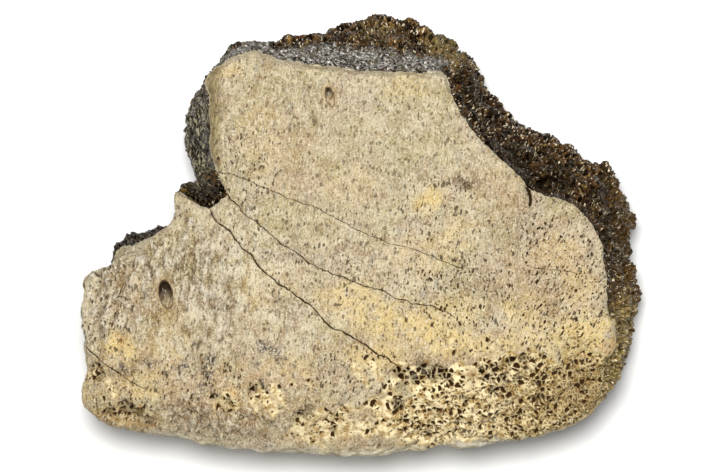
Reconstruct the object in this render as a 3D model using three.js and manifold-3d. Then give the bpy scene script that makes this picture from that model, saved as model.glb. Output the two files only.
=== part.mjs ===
// A fossil tyrannosaur vertebra: the end of one backbone block, broken off and lying on its broken back.
// Units are millimetres. The worn joint face of the bone looks up, along +Z. Seen from above, +X is to
// the right and +Y is up the face, and the origin is on the surface it lies on, under its middle.
// The whole fossil is one piece of petrified bone: a thin pale plate of compact bone over dark, coarse
// spongy bone, which the breaks at the top, right, left and back lay bare.
import * as THREE from 'three';
import { ImprovedNoise } from 'three/addons/math/ImprovedNoise.js';
import { mergeVertices } from 'three/addons/utils/BufferGeometryUtils.js';
import Module from 'manifold-3d';

// Driving dimensions
const FACE_HEIGHT = 45; // the joint face above the surface that the fossil lies on
const SPACING = 2.9; // between neighbouring points of the surface
const MIDDLE = new THREE.Vector2(0.8, 0.3); // of the whole fossil, in the coordinates of the outlines below
const HUB = new THREE.Vector2(-1.6, -18.8); // every outline can be seen whole from here
const FOOT_SHARE = 0.55; // the flat spot underneath, as a share of the girth
const FOOT_RADIUS = 26; // mean
const MEAN_RADIUS = 46; // of the face and the girth
const CRACK_DEPTH = 1.3;

// Rim of the pale joint face, counterclockwise from the lower right.
const FACE_RIM = [
  [49.6, -29.2], [49, -27.2], [49.4, -24.8], [50.6, -22.2], [51.2, -19.8], [51, -17.8], [49.9, -14.5],
  [49.8, -7.8], [49.2, -3.4], [48.4, 0], [47.2, 2.6], [45.2, 4.8], [43, 6.8], [40.4, 7.8], [37.6, 8.2],
  [34.6, 9], [33.8, 9.6], [32.4, 12.2], [30, 14.4], [25.2, 18.8], [22.6, 21.4], [19.8, 26], [18.6, 29.2],
  [18, 31.8], [16.8, 33.4], [13.4, 32.8], [7.6, 32.9], [0, 33.4], [-5, 33.9], [-10.6, 34.6], [-15.6, 35.4],
  [-18.4, 36.6], [-20.6, 37.3], [-24.8, 35.9], [-27.6, 34.5], [-29.8, 32.8], [-30.8, 30.6], [-30, 28],
  [-29.8, 20], [-29.3, 15.5], [-28.4, 12.4], [-27.2, 10.2], [-26.3, 8.5], [-28, 6.6], [-29.7, 5.4],
  [-31.8, 6.3], [-34.4, 7.8], [-36.4, 9.3], [-36.9, 9], [-36.8, 5.4], [-37.8, 2.6], [-40.4, -0.1],
  [-43.8, -2.9], [-48.6, -5], [-50, -6.2], [-53, -7.4], [-55.3, -9.2], [-55.4, -15], [-55, -21],
  [-54.8, -26], [-55.2, -29.8], [-55.7, -32.6], [-55, -35], [-52.8, -36.8], [-49.6, -38.1], [-46, -38.8],
  [-38.2, -40.3], [-31, -42], [-21.6, -43.1], [-14.4, -43.6], [-7.4, -43.9], [-0.2, -44.2], [7, -43.9],
  [12.4, -43.3], [16.4, -42.4], [21, -42.8], [25, -42.1], [30.4, -41.2], [37.4, -40.2], [44, -37.6],
  [46.8, -35.6], [48.8, -32.4],
];

// Girth of the broken spongy bone under the face, counterclockwise from the lower right. It stands out
// past the face at the right and top, and stays just inside it at the left and bottom.
const GIRTH = [
  [49.3, -33.8], [52.1, -28.9], [54.6, -23.2], [56, -18.7], [56.8, -14.7], [57.2, -11], [56.2, -7.5],
  [54.9, -4.3], [55, 0], [55.9, 3.3], [55.2, 6.7], [54, 10.2], [52.7, 12.2], [50.5, 14.5], [46.8, 15.7],
  [45.6, 16.9], [44.8, 17.9], [40.3, 19.3], [37.2, 20.2], [35.6, 21.2], [32, 22.8], [30.3, 25.7],
  [27.5, 28.9], [25, 30.7], [23.6, 33.2], [23.6, 35.8], [21.2, 38.1], [19.5, 39.9], [16.9, 40.9],
  [12.8, 41.7], [10.6, 43.2], [6.5, 44], [3.1, 45], [2.2, 43.8], [-1, 43], [-4.7, 42.1], [-7.5, 40.8],
  [-10.4, 40.3], [-13, 39], [-17.9, 38.5], [-21.1, 38.8], [-24.8, 37.5], [-28, 35.3], [-30.2, 31.4],
  [-31.5, 29.8], [-32.8, 27.8], [-34.4, 24.4], [-35.3, 22.4], [-35.1, 19.8], [-33.8, 16], [-32.4, 13.1],
  [-32.2, 11.1], [-33.4, 10.3], [-35.6, 10.2], [-36.3, 8.8], [-36.2, 5.2], [-38.4, 2.9], [-39.6, 1.3],
  [-40.8, 0.3], [-42.5, 0.4], [-44.3, 0], [-46.3, -1.1], [-48.3, -3], [-49.3, -4.9], [-50, -6.9],
  [-53.6, -10], [-53.6, -20], [-53.4, -33], [-49.6, -36], [-38, -38.4], [-20, -41.2], [0, -42.2],
  [16, -40.8], [30, -39.2], [42, -36.2], [46, -34.2],
];

// How the section changes round the hub. Direction is in degrees from +X. rimDrop is how far the face's
// rim lies under its middle, and bevelFrom is where, between hub and rim, the face starts to fall to it.
// The broken edge then steps stepOut outwards and stepDown downwards. girthHeight is the height of the
// girth, waist is how far the side is hollowed under it, and rough says how broken the side is.
const SECTORS = [
  { direction: 8, rimDrop: 1.5, bevelFrom: 0.85, stepOut: 1.6, stepDown: 5.5, girthHeight: 19, waist: 0, rough: 1 },
  { direction: 28, rimDrop: 1, bevelFrom: 0.9, stepOut: 1.4, stepDown: 6.5, girthHeight: 18, waist: 0, rough: 1 },
  { direction: 37, rimDrop: 0.8, bevelFrom: 0.9, stepOut: 2, stepDown: 8, girthHeight: 18, waist: 0, rough: 1 },
  { direction: 46, rimDrop: 0.2, bevelFrom: 0.95, stepOut: 1.2, stepDown: 6, girthHeight: 18, waist: 0, rough: 1 },
  { direction: 68, rimDrop: 0, bevelFrom: 0.95, stepOut: 1.4, stepDown: 6, girthHeight: 20, waist: 0, rough: 1 },
  { direction: 76, rimDrop: 0, bevelFrom: 0.95, stepOut: 3.6, stepDown: 8, girthHeight: 21, waist: 0, rough: 1 },
  { direction: 92, rimDrop: 0.2, bevelFrom: 0.95, stepOut: 4.4, stepDown: 9, girthHeight: 21, waist: 0, rough: 1 },
  { direction: 102, rimDrop: 0.5, bevelFrom: 0.93, stepOut: 2.6, stepDown: 8, girthHeight: 23, waist: 0, rough: 0.9 },
  { direction: 112, rimDrop: 1, bevelFrom: 0.92, stepOut: 0.9, stepDown: 5, girthHeight: 28, waist: 0, rough: 0.6 },
  { direction: 120, rimDrop: 1.2, bevelFrom: 0.92, stepOut: -0.2, stepDown: 4, girthHeight: 28, waist: 0, rough: 0.6 },
  { direction: 126, rimDrop: 1.2, bevelFrom: 0.92, stepOut: 3.4, stepDown: 7, girthHeight: 26, waist: 0, rough: 0.6 },
  { direction: 131, rimDrop: 1.2, bevelFrom: 0.94, stepOut: 2.4, stepDown: 7, girthHeight: 27, waist: 0, rough: 0.8 },
  { direction: 136, rimDrop: 0.8, bevelFrom: 0.95, stepOut: 3, stepDown: 6.5, girthHeight: 28, waist: 0, rough: 0.8 },
  { direction: 141, rimDrop: 1.6, bevelFrom: 0.9, stepOut: -0.4, stepDown: 5, girthHeight: 28, waist: 0, rough: 0.5 },
  { direction: 150, rimDrop: 2.5, bevelFrom: 0.85, stepOut: -0.4, stepDown: 4, girthHeight: 26, waist: 0.5, rough: 0.6 },
  { direction: 157, rimDrop: 3, bevelFrom: 0.85, stepOut: 0.6, stepDown: 4, girthHeight: 25, waist: 0.5, rough: 0.9 },
  { direction: 166, rimDrop: 3.6, bevelFrom: 0.82, stepOut: -0.3, stepDown: 4, girthHeight: 22, waist: 1.5, rough: 0.5 },
  { direction: 180, rimDrop: 4.5, bevelFrom: 0.82, stepOut: -0.4, stepDown: 4, girthHeight: 21, waist: 2.5, rough: 0.35 },
  { direction: 196, rimDrop: 7, bevelFrom: 0.62, stepOut: -0.4, stepDown: 3, girthHeight: 20, waist: 3.5, rough: 0.3 },
  { direction: 215, rimDrop: 8.5, bevelFrom: 0.5, stepOut: -0.5, stepDown: 3, girthHeight: 20, waist: 4.5, rough: 0.25 },
  { direction: 270, rimDrop: 9.5, bevelFrom: 0.4, stepOut: -0.5, stepDown: 3, girthHeight: 20, waist: 5, rough: 0.25 },
  { direction: 325, rimDrop: 9, bevelFrom: 0.45, stepOut: -0.5, stepDown: 3, girthHeight: 20, waist: 4, rough: 0.25 },
  { direction: 342, rimDrop: 7.5, bevelFrom: 0.55, stepOut: 0.4, stepDown: 3, girthHeight: 21, waist: 1.5, rough: 0.6 },
  { direction: 352, rimDrop: 4, bevelFrom: 0.75, stepOut: 1.2, stepDown: 4, girthHeight: 20, waist: 0, rough: 0.9 },
];

// Hairline cracks across the face, from the broken left edge.
const CRACKS = [
  { width: 0.35, line: [[-28.6, 13.1], [-25, 12.3], [-20, 10.2], [-15, 8.2], [-10, 6.2], [-5, 4.3], [-2, 2.2],
    [0, 1], [5, -0.8], [10, -2.4], [15, -4.5], [20, -5.8], [24, -6.2]] },
  { width: 0.6, line: [[-26.6, 9], [-24.5, 6.2], [-22, 3.5], [-17.5, 0.5], [-15, -1.5], [-10, -5.4], [-7.5, -6.7],
    [-2.5, -8.6], [2, -10.2], [4.8, -10.8], [7, -12.3], [10, -13.7], [14, -13.9], [17, -15.3], [19.5, -17]] },
  { width: 0.7, line: [[-30, 5.8], [-28.7, 3.2], [-25, 0.2], [-23, -2.8], [-20, -5.6], [-15, -10], [-12.5, -11.5],
    [-10, -13.3], [-9, -15], [-5, -17.9], [0, -20.9], [3, -23], [5, -23.9], [8.2, -26.2]] },
];

// Holes where blood vessels entered the bone: place, width, length, lean from +Y in degrees, and depth.
const VESSEL_HOLES = [
  { x: -38.7, y: -11.2, width: 2.9, length: 5, lean: 12, depth: 2.6 },
  { x: -5.6, y: 27.8, width: 1.4, length: 4.2, lean: 14, depth: 1.8 },
];

// Larger hollows of the spongy bone, where the compact plate has worn away along the bottom.
const HOLLOWS = [
  [8.8, -26.8, 1.5], [11, -28.2, 1.3], [13.6, -26.2, 1.4], [16.2, -27, 1.3], [14.6, -28.6, 1], [18, -28.5, 0.9],
  [24.8, -26.6, 1], [25.7, -28.5, 1.1], [29.2, -28.6, 1.2], [30.6, -25, 1], [32.8, -24.4, 0.9], [27.6, -31, 0.9],
  [8, -34.2, 1.3], [-4.8, -39.4, 1], [-11.8, -36, 1.2], [-9.8, -34.9, 0.9], [-46.5, -34.6, 1.5], [-44.4, -36.2, 1.4],
  [-42, -37.4, 1.1], [-50, -35, 0.9], [-19, -30.1, 0.9], [-20.9, -30.8, 0.8], [22, -33, 0.8], [36.2, -32.8, 1],
  [38.6, -33, 0.8], [-53.6, -26.4, 1.2], [-52.4, -28, 0.9], [-28.4, -32.4, 0.8], [-25.6, -33.8, 0.8], [19.4, -33, 0.7],
];

// Smaller pores: bands of the worn bottom, each an ellipse with its number of pores.
const PORE_BANDS = [
  { x: 30, y: -30, reachX: 16, reachY: 5.5, count: 20 },
  { x: 10, y: -34, reachX: 18, reachY: 4.5, count: 9 },
  { x: -14, y: -34, reachX: 12, reachY: 4.5, count: 9 },
  { x: -47, y: -34, reachX: 7, reachY: 2.5, count: 5 },
];

const wasm = await Module();
wasm.setup();
const noise = new ImprovedNoise();
const { degToRad, lerp, radToDeg, smoothstep } = THREE.MathUtils;
const FULL_TURN = 360;

// Outlines round the hub

function directionOf(x, y) {
  return (radToDeg(Math.atan2(y - HUB.y, x - HUB.x)) + FULL_TURN) % FULL_TURN;
}

// An outline as directions and distances from the hub, in order of direction.
function aroundHub(outline) {
  return outline
    .map(([x, y]) => ({ direction: directionOf(x, y), radius: Math.hypot(x - HUB.x, y - HUB.y) }))
    .sort((a, b) => a.direction - b.direction);
}

// The entries before and after a direction in a list sorted by direction, and the share of the way between.
function neighbours(list, direction) {
  const next = Math.max(0, list.findIndex((entry) => entry.direction > direction));
  const after = list[next];
  const before = list.at(next - 1);
  const span = (after.direction - before.direction + FULL_TURN) % FULL_TURN;
  const passed = (direction - before.direction + FULL_TURN) % FULL_TURN;
  return { before, after, share: passed / span };
}

function valueAt(list, direction, key) {
  const { before, after, share } = neighbours(list, direction);
  return lerp(before[key], after[key], share);
}

const faceRim = aroundHub(FACE_RIM);
const girth = aroundHub(GIRTH);
const sector = (direction, key) => valueAt(SECTORS, direction, key);
const rimRadius = (direction) => valueAt(faceRim, direction, 'radius');
const smoothRimRadius = (direction) => (
  [-14, -7, 0, 7, 14].reduce((sum, turn) => sum + rimRadius((direction + turn + FULL_TURN) % FULL_TURN), 0) / 5
);
const girthRadius = (direction) => valueAt(girth, direction, 'radius');

// Directions of an outline's own points, with more between them where they lie further apart than SPACING.
function directionsOf(list) {
  return list.flatMap((start, i) => {
    const end = list[(i + 1) % list.length];
    const turn = (end.direction - start.direction + FULL_TURN) % FULL_TURN;
    const apart = Math.hypot(degToRad(turn) * start.radius, end.radius - start.radius);
    const steps = Math.max(1, Math.round(apart / SPACING));
    return Array.from({ length: steps }, (_, step) => (start.direction + (turn * step) / steps) % FULL_TURN);
  }).sort((a, b) => a - b);
}

// Evenly spaced directions for a ring of about this mean radius.
function evenDirections(radius) {
  const count = Math.max(8, Math.round((2 * Math.PI * radius) / SPACING));
  return Array.from({ length: count }, (_, i) => (i * FULL_TURN) / count);
}

// The joint face: gently dished, a little lower on the lobe at the right, and folded at the lower left.

function faceRelief(x, y) {
  const dish = 0.9 * (1 - Math.exp(-((x - 2) ** 2 + (y - 6) ** 2) / 900));
  const lobe = 1.1 * smoothstep(x, 33, 36) * smoothstep(y, -6, 6);
  const leftPart = smoothstep(-x, 18, 30) * smoothstep(-y, -12, 0);
  const folds = 0.35 * Math.sin((x + 0.3 * y) * 0.7) + 0.9 * noise.noise(x * 0.13, y * 0.13, 4);
  return dish - lobe + leftPart * folds + 0.35 * noise.noise(x * 0.09, y * 0.09, 9);
}

// The notches of the rim fade inwards, so that no ring crosses the next.
function facePoint(direction, share) {
  const radius = share * lerp(smoothRimRadius(direction), rimRadius(direction), Math.min(1, share) ** 4);
  const x = HUB.x + radius * Math.cos(degToRad(direction));
  const y = HUB.y + radius * Math.sin(degToRad(direction));
  const from = sector(direction, 'bevelFrom');
  const fall = Math.max(0, (share - from) / (1 - from)) ** 1.6;
  return { x, y, z: FACE_HEIGHT - 0.6 + faceRelief(x, y) - sector(direction, 'rimDrop') * fall, rough: 0.08 };
}

// The sides, from the rim of the face down over the broken step to the girth, and from there to the foot.

function at(direction, radius, z, rough) {
  return { x: HUB.x + radius * Math.cos(degToRad(direction)), y: HUB.y + radius * Math.sin(degToRad(direction)), z, rough };
}

// The step's foot is share 0 and the girth is share 1.
function flankPoint(direction, share) {
  const rim = facePoint(direction, 1);
  const stepRadius = rimRadius(direction) + sector(direction, 'stepOut');
  const stepHeight = rim.z - sector(direction, 'stepDown');
  const radius = lerp(stepRadius, girthRadius(direction), share ** 0.8);
  const z = lerp(stepHeight, sector(direction, 'girthHeight'), share ** 1.25);
  const roughShare = share === 1 ? 0.35 : lerp(0.6, 1.3, share);
  return at(direction, radius, z, sector(direction, 'rough') * roughShare);
}

// The girth is share 0 and the foot is share 1.
function underPoint(direction, share) {
  const turn = (share * Math.PI) / 2;
  const wide = girthRadius(direction);
  const foot = wide * FOOT_SHARE;
  const hollowed = sector(direction, 'waist') * Math.sin(Math.PI * share);
  const radius = lerp(foot, wide, Math.cos(turn)) - hollowed;
  const z = sector(direction, 'girthHeight') * (1 - Math.sin(turn));
  return at(direction, radius, z, lerp(sector(direction, 'rough'), 0.6, share));
}

// Every ring of points, from the middle of the face, over the rim and the girth, to the middle of the foot.
function makeRings() {
  const rings = [[{ direction: 0, ...facePoint(0, 0) }]];
  const ring = (directions, place) => rings.push(directions.map((direction) => ({ direction, ...place(direction) })));
  const rimDirections = directionsOf(faceRim);
  const girthDirections = directionsOf(girth);
  const faceRings = Math.round(MEAN_RADIUS / SPACING);
  for (let i = 1; i <= faceRings; i++) {
    const share = i / faceRings;
    const nearRim = share > 0.7;
    ring(nearRim ? rimDirections : evenDirections(MEAN_RADIUS * share), (direction) => facePoint(direction, share));
  }
  for (const share of [0, 0.25, 0.5]) ring(rimDirections, (direction) => flankPoint(direction, share));
  for (const share of [0.78, 1]) ring(girthDirections, (direction) => flankPoint(direction, share));
  for (const share of [0.14, 0.28, 0.43, 0.6, 0.8]) {
    ring(evenDirections(lerp(MEAN_RADIUS, FOOT_RADIUS, share)), (direction) => underPoint(direction, share));
  }
  ring(evenDirections(FOOT_RADIUS), (direction) => ({ ...underPoint(direction, 1), z: 0 }));
  rings.push([{ direction: 0, x: HUB.x, y: HUB.y, z: 0, rough: 0 }]);
  return rings;
}

// Joins two rings by a band of triangles, taking whichever ring's next point comes first round the hub.
function stitch(near, far, triangles) {
  const stepsOf = (ring) => (ring.length === 1 ? 0 : ring.length);
  const turnOf = (ring, i) => ring[i % ring.length].direction + FULL_TURN * Math.floor(i / ring.length);
  const indexOf = (ring, i) => ring[i % ring.length].index;
  let n = 0;
  let f = 0;
  while (n < stepsOf(near) || f < stepsOf(far)) {
    const nearDone = n === stepsOf(near);
    const farFirst = f < stepsOf(far) && (nearDone || turnOf(far, f + 1) <= turnOf(near, n + 1));
    if (farFirst) {
      triangles.push(indexOf(far, f), indexOf(far, f + 1), indexOf(near, n));
      f += 1;
    } else {
      triangles.push(indexOf(near, n + 1), indexOf(near, n), indexOf(far, f));
      n += 1;
    }
  }
}

function surfaceOf(rings) {
  const points = rings.flat();
  points.forEach((point, index) => { point.index = index; });
  const triangles = [];
  for (let i = 1; i < rings.length; i++) stitch(rings[i - 1], rings[i], triangles);
  const geometry = new THREE.BufferGeometry();
  geometry.setAttribute('position', new THREE.Float32BufferAttribute(points.flatMap(({ x, y, z }) => [x, y, z]), 3));
  geometry.setIndex(triangles);
  geometry.computeVertexNormals();
  return { geometry, points };
}

// Lumps and grains of the broken spongy bone: every point moves along its normal, except on the flat foot.
function roughen({ geometry, points }) {
  const position = geometry.attributes.position;
  const normal = geometry.attributes.normal;
  points.forEach(({ x, y, z, rough }, i) => {
    if (z < 0.01) return;
    const lumps = 2 * noise.noise(x * 0.15, y * 0.15, z * 0.15) + 1.3 * noise.noise(x * 0.4, y * 0.4, z * 0.4);
    const grain = (salt) => rough * (THREE.MathUtils.seededRandom(i + salt) - 0.5);
    const move = rough * lumps + grain(1);
    position.setXYZ(
      i,
      x + normal.getX(i) * move + grain(2000),
      y + normal.getY(i) * move + grain(4000),
      Math.max(0.4, z + normal.getZ(i) * move + 2 * grain(6000)),
    );
  });
  return geometry;
}

// Cutting shapes

function solidOf(geometry) {
  const bare = geometry.clone();
  bare.deleteAttribute('normal');
  bare.deleteAttribute('uv');
  const merged = mergeVertices(bare, 1e-4);
  return new wasm.Manifold(new wasm.Mesh({
    numProp: 3,
    vertProperties: merged.attributes.position.array,
    triVerts: new Uint32Array(merged.index.array),
  }));
}

function heightAt(x, y) {
  const direction = directionOf(x, y);
  return facePoint(direction, Math.hypot(x - HUB.x, y - HUB.y) / rimRadius(direction)).z;
}

// A wedge along a crack, open upwards, which narrows to nothing at its inner end.
function crackWedge({ width, line }) {
  const above = 2;
  const corners = line.flatMap(([x, y], i) => {
    const [beforeX, beforeY] = line[Math.max(0, i - 1)];
    const [afterX, afterY] = line[Math.min(line.length - 1, i + 1)];
    const length = Math.hypot(afterX - beforeX, afterY - beforeY);
    const sideX = -(afterY - beforeY) / length;
    const sideY = (afterX - beforeX) / length;
    const open = 1 - 0.7 * (i / (line.length - 1)) ** 3;
    const half = (width / 2) * open * (1 + above / CRACK_DEPTH);
    const z = heightAt(x, y);
    return [
      [x + sideX * half, y + sideY * half, z + above],
      [x - sideX * half, y - sideY * half, z + above],
      [x, y, z - CRACK_DEPTH * open],
    ];
  });
  const triangles = [0, 2, 1];
  for (let i = 0; i < line.length - 1; i++) {
    const [left, right, deep] = [3 * i, 3 * i + 1, 3 * i + 2];
    triangles.push(left, right, right + 3, left, right + 3, left + 3);
    triangles.push(right, deep, deep + 3, right, deep + 3, right + 3);
    triangles.push(deep, left, left + 3, deep, left + 3, deep + 3);
  }
  const last = corners.length - 3;
  triangles.push(last, last + 1, last + 2);
  const geometry = new THREE.BufferGeometry();
  geometry.setAttribute('position', new THREE.Float32BufferAttribute(corners.flat(), 3));
  geometry.setIndex(triangles);
  return geometry;
}

function vesselHole({ x, y, width, length, lean, depth }) {
  const geometry = new THREE.SphereGeometry(1, 10, 8);
  geometry.scale(width / 2, length / 2, depth);
  geometry.rotateX(degToRad(-18));
  geometry.rotateZ(degToRad(lean));
  return geometry.translate(x, y, heightAt(x, y) + 0.25);
}

function pore(x, y, radius, seed) {
  const geometry = new THREE.SphereGeometry(radius, 6, 4);
  geometry.scale(1, 1.25, 1.5);
  geometry.rotateZ(seed * 2.4);
  return geometry.translate(x, y, heightAt(x, y) - 0.1 * radius);
}

function bandPores({ x, y, reachX, reachY, count }, band) {
  return Array.from({ length: count }, (_, i) => {
    const seed = 100 * band + i;
    const random = (salt) => THREE.MathUtils.seededRandom(1000 * salt + seed);
    const turn = 2 * Math.PI * random(1);
    const reach = Math.sqrt(random(2));
    return pore(x + reachX * reach * Math.cos(turn), y + reachY * reach * Math.sin(turn), 0.5 + 0.3 * random(3), seed);
  });
}

// The fossil

const cutters = [
  ...CRACKS.map(crackWedge),
  ...VESSEL_HOLES.map(vesselHole),
  ...HOLLOWS.map(([x, y, radius], i) => pore(x, y, radius, i)),
  ...PORE_BANDS.flatMap(bandPores),
];
const fossil = cutters.reduce(
  (solid, cutter) => solid.subtract(solidOf(cutter)),
  solidOf(roughen(surfaceOf(makeRings()))),
).getMesh();

const geometry = new THREE.BufferGeometry();
geometry.setAttribute('position', new THREE.BufferAttribute(fossil.vertProperties, 3));
geometry.setIndex(new THREE.BufferAttribute(fossil.triVerts, 1));
geometry.translate(-MIDDLE.x, -MIDDLE.y, 0);
geometry.computeVertexNormals();

const petrifiedBone = new THREE.MeshStandardMaterial({ color: '#c9b78f', roughness: 0.75, metalness: 0 });
const vertebra = new THREE.Mesh(geometry, petrifiedBone);
vertebra.name = 'vertebra';

const model = new THREE.Group();
model.add(vertebra);
export default model;
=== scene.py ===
# A broken end of a fossil tyrannosaur vertebra, lying on a white table with its worn joint face up.
import math
import bpy
import numpy as np
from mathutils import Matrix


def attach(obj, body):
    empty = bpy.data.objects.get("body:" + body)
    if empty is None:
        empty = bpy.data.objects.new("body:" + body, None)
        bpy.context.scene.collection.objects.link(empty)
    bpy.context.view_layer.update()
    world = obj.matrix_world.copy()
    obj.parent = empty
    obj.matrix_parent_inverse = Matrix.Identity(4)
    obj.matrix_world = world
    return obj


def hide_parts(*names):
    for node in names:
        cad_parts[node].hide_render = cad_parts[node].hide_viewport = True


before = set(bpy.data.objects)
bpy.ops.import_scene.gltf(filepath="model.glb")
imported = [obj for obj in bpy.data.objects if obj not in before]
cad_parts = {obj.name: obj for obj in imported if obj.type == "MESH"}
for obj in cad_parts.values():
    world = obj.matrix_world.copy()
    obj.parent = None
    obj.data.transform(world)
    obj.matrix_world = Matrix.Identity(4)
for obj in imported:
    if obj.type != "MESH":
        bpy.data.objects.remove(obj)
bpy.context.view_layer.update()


# The white table that the fossil lies on.
# A plain sheet of matt white board, which isn't part of the object.

# A colour's hex digits as the linear shares of red, green and blue that a shader takes.
def linear(hex_colour):
    shares = [int(hex_colour[i:i + 2], 16) / 255 for i in (1, 3, 5)]
    return tuple(s / 12.92 if s <= 0.04045 else ((s + 0.055) / 1.055) ** 2.4 for s in shares) + (1.0,)


# Adds a node to a tree, with each socket linked to another node's output or set to a value.
def add_node(tree, kind, sockets=None, **settings):
    node = tree.nodes.new(kind)
    for name, value in settings.items():
        setattr(node, name, value)
    for socket, value in (sockets or {}).items():
        if isinstance(value, bpy.types.NodeSocket):
            tree.links.new(value, node.inputs[socket])
        else:
            node.inputs[socket].default_value = value
    return node


TABLE_WIDTH = 8.0
bpy.ops.object.select_all(action="DESELECT")
bpy.ops.mesh.primitive_plane_add(size=TABLE_WIDTH, location=(0, 0, 0))
table = bpy.context.object
table.name = "table"
white_board = bpy.data.materials.new("matt_white_board")
white_board.use_nodes = True
board_shader = white_board.node_tree.nodes["Principled BSDF"]
board_shader.inputs["Base Color"].default_value = linear("#f4f4f2")
board_shader.inputs["Roughness"].default_value = 0.9
table.data.materials.append(white_board)


# The studio light: one large soft light above, towards the top of the joint face, and a white room.
# The photograph's shadow hugs the fossil at the left, bottom and right, and there is none at the top.
ROOM_BRIGHTNESS = 0.3
LAMP_PLACE = (-0.03, 0.11, 1.25)
LAMP_LEAN = (math.radians(-5), math.radians(-1.4), 0)
LAMP_WIDTH = 0.25
LAMP_WATTS = 18.8
room = bpy.data.worlds.new("white_room")
bpy.context.scene.world = room
room.use_nodes = True
white_walls = room.node_tree.nodes["Background"]
white_walls.inputs["Color"].default_value = linear("#ffffff")
white_walls.inputs["Strength"].default_value = ROOM_BRIGHTNESS
bpy.ops.object.light_add(type="AREA", location=LAMP_PLACE)
soft_light = bpy.context.object
soft_light.name = "soft_light"
soft_light.data.shape = "DISK"
soft_light.data.size = LAMP_WIDTH
soft_light.data.energy = LAMP_WATTS
soft_light.rotation_euler = LAMP_LEAN
bpy.context.scene.view_settings.view_transform = "Standard"


# The camera looks straight down on the joint face through a long lens.
# At the face, 45 mm above the table, the picture is 141.6 mm wide, five of its pixels to a millimetre.
CAMERA_PLACE = (-0.0016, -0.0003, 1.545)
LENS_TO_FACE_MM = 1500
PICTURE_WIDTH_MM = 141.6
SENSOR_MM = 36
bpy.ops.object.camera_add(location=CAMERA_PLACE, rotation=(0, 0, 0))
camera = bpy.context.object
camera.name = "camera"
camera.data.sensor_width = SENSOR_MM
camera.data.lens = SENSOR_MM * LENS_TO_FACE_MM / PICTURE_WIDTH_MM
camera.data.clip_start = 0.1
camera.data.clip_end = 20
bpy.context.scene.camera = camera


# The fossil: one piece of petrified bone. Compact tan bone plates the joint face and the sides under it,
# worn open along the bottom, over dark brown spongy bone that shows wherever it is broken.
# It is carved from the frame's solid: remeshed finely, then pitted, grained and cracked.
COARSE_VOXEL = 0.0005
FINE_VOXEL = 0.0003
TRIANGLES_BEFORE_CRACKS = 165000
fossil = bpy.data.objects.new("fossil_vertebra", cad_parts["vertebra"].data.copy())
bpy.context.scene.collection.objects.link(fossil)
fossil.data.materials.clear()
bpy.ops.object.select_all(action="DESELECT")
bpy.context.view_layer.objects.active = fossil
fossil.select_set(True)
bpy.ops.object.mode_set(mode="EDIT")
bpy.ops.mesh.select_all(action="SELECT")
bpy.ops.mesh.remove_doubles(threshold=1e-6)
bpy.ops.object.mode_set(mode="OBJECT")


def finish_modifier(kind, **settings):
    bpy.ops.object.modifier_add(type=kind)
    modifier = bpy.context.object.modifiers[-1]
    for name, value in settings.items():
        setattr(modifier, name, value)
    bpy.ops.object.modifier_apply(modifier=modifier.name)


finish_modifier("REMESH", mode="VOXEL", voxel_size=COARSE_VOXEL)
finish_modifier("SMOOTH", factor=0.5, iterations=10)

# The outlines are in millimetres, as in the part's source, from a point beside the fossil's middle.
MIDDLE = (0.8, 0.3)
HUB = (-1.6, -18.8)
FACE_RIM = [
    (49.6, -29.2), (49, -27.2), (49.4, -24.8), (50.6, -22.2), (51.2, -19.8), (51, -17.8), (49.9, -14.5),
    (49.8, -7.8), (49.2, -3.4), (48.4, 0), (47.2, 2.6), (45.2, 4.8), (43, 6.8), (40.4, 7.8), (37.6, 8.2),
    (34.6, 9), (33.8, 9.6), (32.4, 12.2), (30, 14.4), (25.2, 18.8), (22.6, 21.4), (19.8, 26), (18.6, 29.2),
    (18, 31.8), (16.8, 33.4), (13.4, 32.8), (7.6, 32.9), (0, 33.4), (-5, 33.9), (-10.6, 34.6),
    (-15.6, 35.4), (-18.4, 36.6), (-20.6, 37.3), (-24.8, 35.9), (-27.6, 34.5), (-29.8, 32.8), (-30.8, 30.6),
    (-30, 28), (-29.8, 20), (-29.3, 15.5), (-28.4, 12.4), (-27.2, 10.2), (-26.3, 8.5), (-28, 6.6),
    (-29.7, 5.4), (-31.8, 6.3), (-34.4, 7.8), (-36.4, 9.3), (-36.9, 9), (-36.8, 5.4), (-37.8, 2.6),
    (-40.4, -0.1), (-43.8, -2.9), (-48.6, -5), (-50, -6.2), (-53, -7.4), (-55.3, -9.2), (-55.4, -15),
    (-55, -21), (-54.8, -26), (-55.2, -29.8), (-55.7, -32.6), (-55, -35), (-52.8, -36.8), (-49.6, -38.1),
    (-46, -38.8), (-38.2, -40.3), (-31, -42), (-21.6, -43.1), (-14.4, -43.6), (-7.4, -43.9), (-0.2, -44.2),
    (7, -43.9), (12.4, -43.3), (16.4, -42.4), (21, -42.8), (25, -42.1), (30.4, -41.2), (37.4, -40.2),
    (44, -37.6), (46.8, -35.6), (48.8, -32.4),
]
# How low the plate reaches down the side, by the direction round the hub in degrees.
PLATE_HEM = [
    (8, 41.2), (28, 41.6), (37, 42), (46, 42.6), (68, 42.8), (92, 42.8), (102, 42.4), (112, 41.6),
    (126, 41.4), (136, 41.6), (150, 38), (160, 30), (170, 16), (180, 9), (196, 7), (215, 7), (270, 6),
    (325, 8), (338, 20), (345, 33), (355, 38.5),
]
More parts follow.
